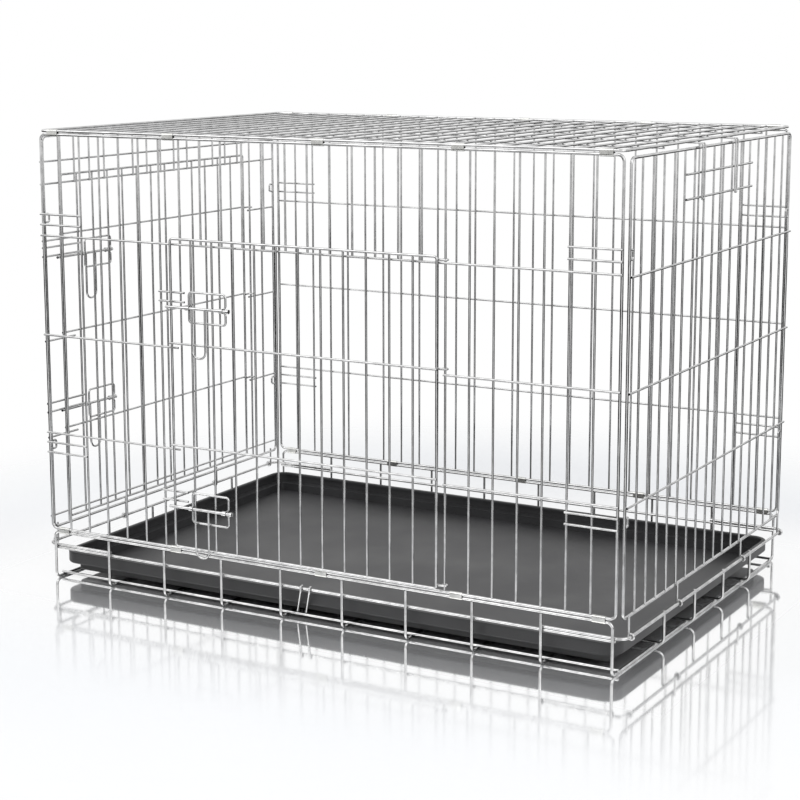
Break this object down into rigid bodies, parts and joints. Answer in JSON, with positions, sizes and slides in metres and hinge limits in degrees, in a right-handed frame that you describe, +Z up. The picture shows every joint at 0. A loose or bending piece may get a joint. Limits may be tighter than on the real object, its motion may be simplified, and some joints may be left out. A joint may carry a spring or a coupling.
{
  "type": "folding wire dog crate",
  "caption": "Folding wire dog crate with hinged panels, a front door and a side door on sliding bolts, and a lift-out plastic tray in a wire base.",
  "frame": {"origin": "on the floor under the middle of the crate", "axes": "+X to the right seen from the front door, along the long side; +Y to the back; +Z up"},
  "size_m": [0.9429, 0.6387, 0.6647],
  "materials": {
    "frame_wire": "bright galvanised wire",
    "bar_wire": "bright galvanised wire",
    "latch_wire": "bright galvanised wire",
    "clip_sheet": "bright rolled steel sheet",
    "tray_plastic": "satin moulded plastic"
  },
  "bodies": {
    "base": {"base_hoop": "frame_wire", "base_cross_wires": "frame_wire", "base_floor_wires": "frame_wire", "base_mid_rails": "frame_wire", "base_end_rails": "frame_wire", "base_hinge_clips": "clip_sheet", "closing_hooks": "bar_wire"},
    "tray": {"tray": "tray_plastic"},
    "front": {"front_frame": "frame_wire", "front_uprights": "bar_wire", "front_cross_wires": "bar_wire", "front_lock_wires": "bar_wire", "front_keepers": "bar_wire"},
    "rear": {"rear_frame": "frame_wire", "rear_uprights": "bar_wire", "rear_cross_wires": "bar_wire", "rear_lock_wires": "bar_wire"},
    "top": {"top_frame": "frame_wire", "top_bars": "bar_wire", "top_stringers": "bar_wire", "top_hinge_clips": "clip_sheet"},
    "left_end": {"left_end_frame": "frame_wire", "left_end_uprights": "bar_wire", "left_end_cross_wires": "bar_wire", "left_end_keepers": "bar_wire", "left_end_hinge_loops": "bar_wire", "left_end_lock_loops": "bar_wire"},
    "right_end": {"right_end_frame": "frame_wire", "right_end_uprights": "bar_wire", "right_end_cross_wires": "bar_wire", "right_end_spring_hooks": "bar_wire", "right_end_hinge_loops": "bar_wire", "right_end_lock_loops": "bar_wire"},
    "front_door": {"front_door_frame": "frame_wire", "front_door_bars": "bar_wire", "front_door_cross_wires": "bar_wire", "front_door_hinge_loops": "bar_wire", "front_door_latch_guides": "latch_wire"},
    "side_door": {"side_door_frame": "frame_wire", "side_door_bars": "bar_wire", "side_door_cross_wires": "bar_wire", "side_door_hinge_loops": "bar_wire", "side_door_latch_guides": "latch_wire"},
    "front_bolt_upper": {"front_bolt_upper": "latch_wire"},
    "front_bolt_lower": {"front_bolt_lower": "latch_wire"},
    "side_bolt_upper": {"side_bolt_upper": "latch_wire"},
    "side_bolt_lower": {"side_bolt_lower": "latch_wire"}
  },
  "joints": [
    {"name": "tray_lift", "type": "slide", "parent": "base", "child": "tray", "axis": [0, 0, 1], "range_m": [0, 0.04]},
    {"name": "front_fold", "type": "hinge", "parent": "base", "child": "front", "pos_m": [0, -0.308, 0.077], "axis": [1, 0, 0], "range_deg": [-75, 0]},
    {"name": "top_fold", "type": "hinge", "parent": "front", "child": "top", "pos_m": [0, -0.308, 0.657], "axis": [1, 0, 0], "range_deg": [0, 75]},
    {"name": "rear_fold", "type": "hinge", "parent": "base", "child": "rear", "pos_m": [0, 0.308, 0.077], "axis": [1, 0, 0], "range_deg": [-75, 0]},
    {"name": "left_end_fold", "type": "hinge", "parent": "base", "child": "left_end", "pos_m": [-0.46363, 0, 0.05102], "axis": [0, -1, 0], "range_deg": [-87.5, 0]},
    {"name": "right_end_fold", "type": "hinge", "parent": "base", "child": "right_end", "pos_m": [0.46363, 0, 0.05102], "axis": [0, 1, 0], "range_deg": [-90, 0]},
    {"name": "front_door_swing", "type": "hinge", "parent": "front", "child": "front_door", "pos_m": [0.20815, -0.3085, 0.3], "axis": [0, 0, 1], "range_deg": [0, 100]},
    {"name": "side_door_swing", "type": "hinge", "parent": "left_end", "child": "side_door", "pos_m": [-0.457, 0.22838, 0.3], "axis": [0, 0, -1], "range_deg": [0, 100]},
    {"name": "front_bolt_upper_slide", "type": "slide", "parent": "front_door", "child": "front_bolt_upper", "axis": [1, 0, 0], "range_m": [0, 0.02]},
    {"name": "front_bolt_lower_slide", "type": "slide", "parent": "front_door", "child": "front_bolt_lower", "axis": [1, 0, 0], "range_m": [0, 0.02]},
    {"name": "side_bolt_upper_slide", "type": "slide", "parent": "side_door", "child": "side_bolt_upper", "axis": [0, 1, 0], "range_m": [0, 0.02]},
    {"name": "side_bolt_lower_slide", "type": "slide", "parent": "side_door", "child": "side_bolt_lower", "axis": [0, 1, 0], "range_m": [0, 0.02]}
  ],
  "couplings": [
    {"joint": "top_fold", "follows": "front_fold", "ratio": -1},
    {"joint": "rear_fold", "follows": "front_fold", "ratio": 1}
  ]
}
